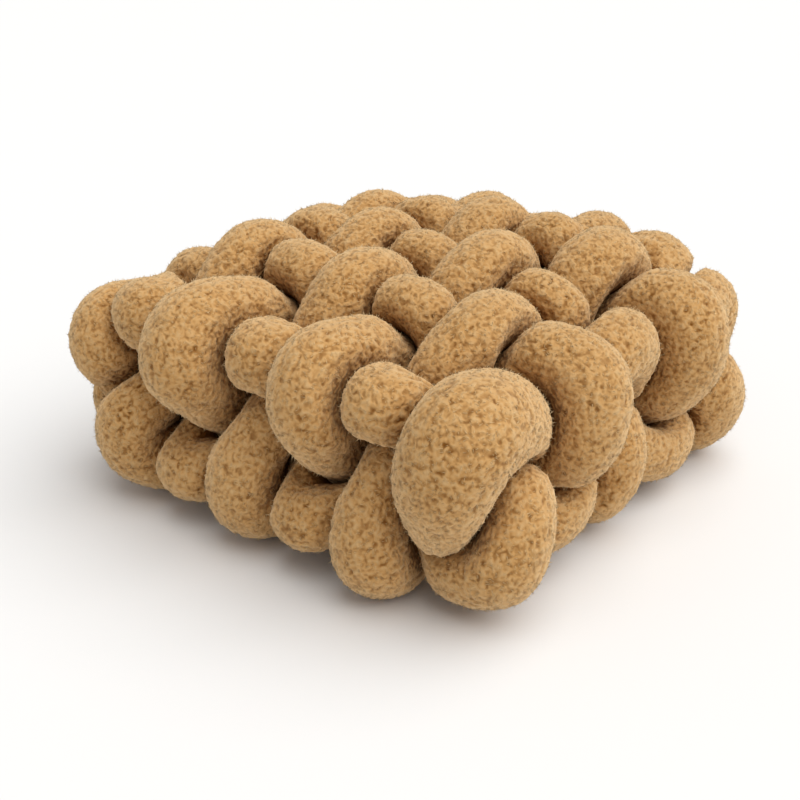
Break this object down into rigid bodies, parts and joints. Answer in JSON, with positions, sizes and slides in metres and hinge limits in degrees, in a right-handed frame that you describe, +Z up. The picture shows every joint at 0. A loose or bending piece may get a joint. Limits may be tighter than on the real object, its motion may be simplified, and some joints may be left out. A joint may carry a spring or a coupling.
{
  "type": "knot cushion",
  "caption": "Knot cushion: stuffed curly-pile fabric tubes woven over and under each other round a flattened square pillow shape.",
  "frame": {"origin": "middle of the cushion's underside, on the surface it rests on", "axes": "+Z up through the thickness; X and Y along the sides, with the longer-pitched crossings along X"},
  "size_m": [0.4608, 0.4584, 0.2201],
  "materials": {
    "pile_fabric": "curly pile"
  },
  "bodies": {
    "root": {"tube_x_1": "pile_fabric", "tube_x_2": "pile_fabric", "tube_x_3": "pile_fabric", "tube_x_4": "pile_fabric", "tube_x_5": "pile_fabric", "tube_x_6": "pile_fabric", "tube_x_7": "pile_fabric", "tube_y_1": "pile_fabric", "tube_y_2": "pile_fabric", "tube_y_3": "pile_fabric", "tube_y_4": "pile_fabric", "tube_y_5": "pile_fabric"}
  },
  "joints": []
}
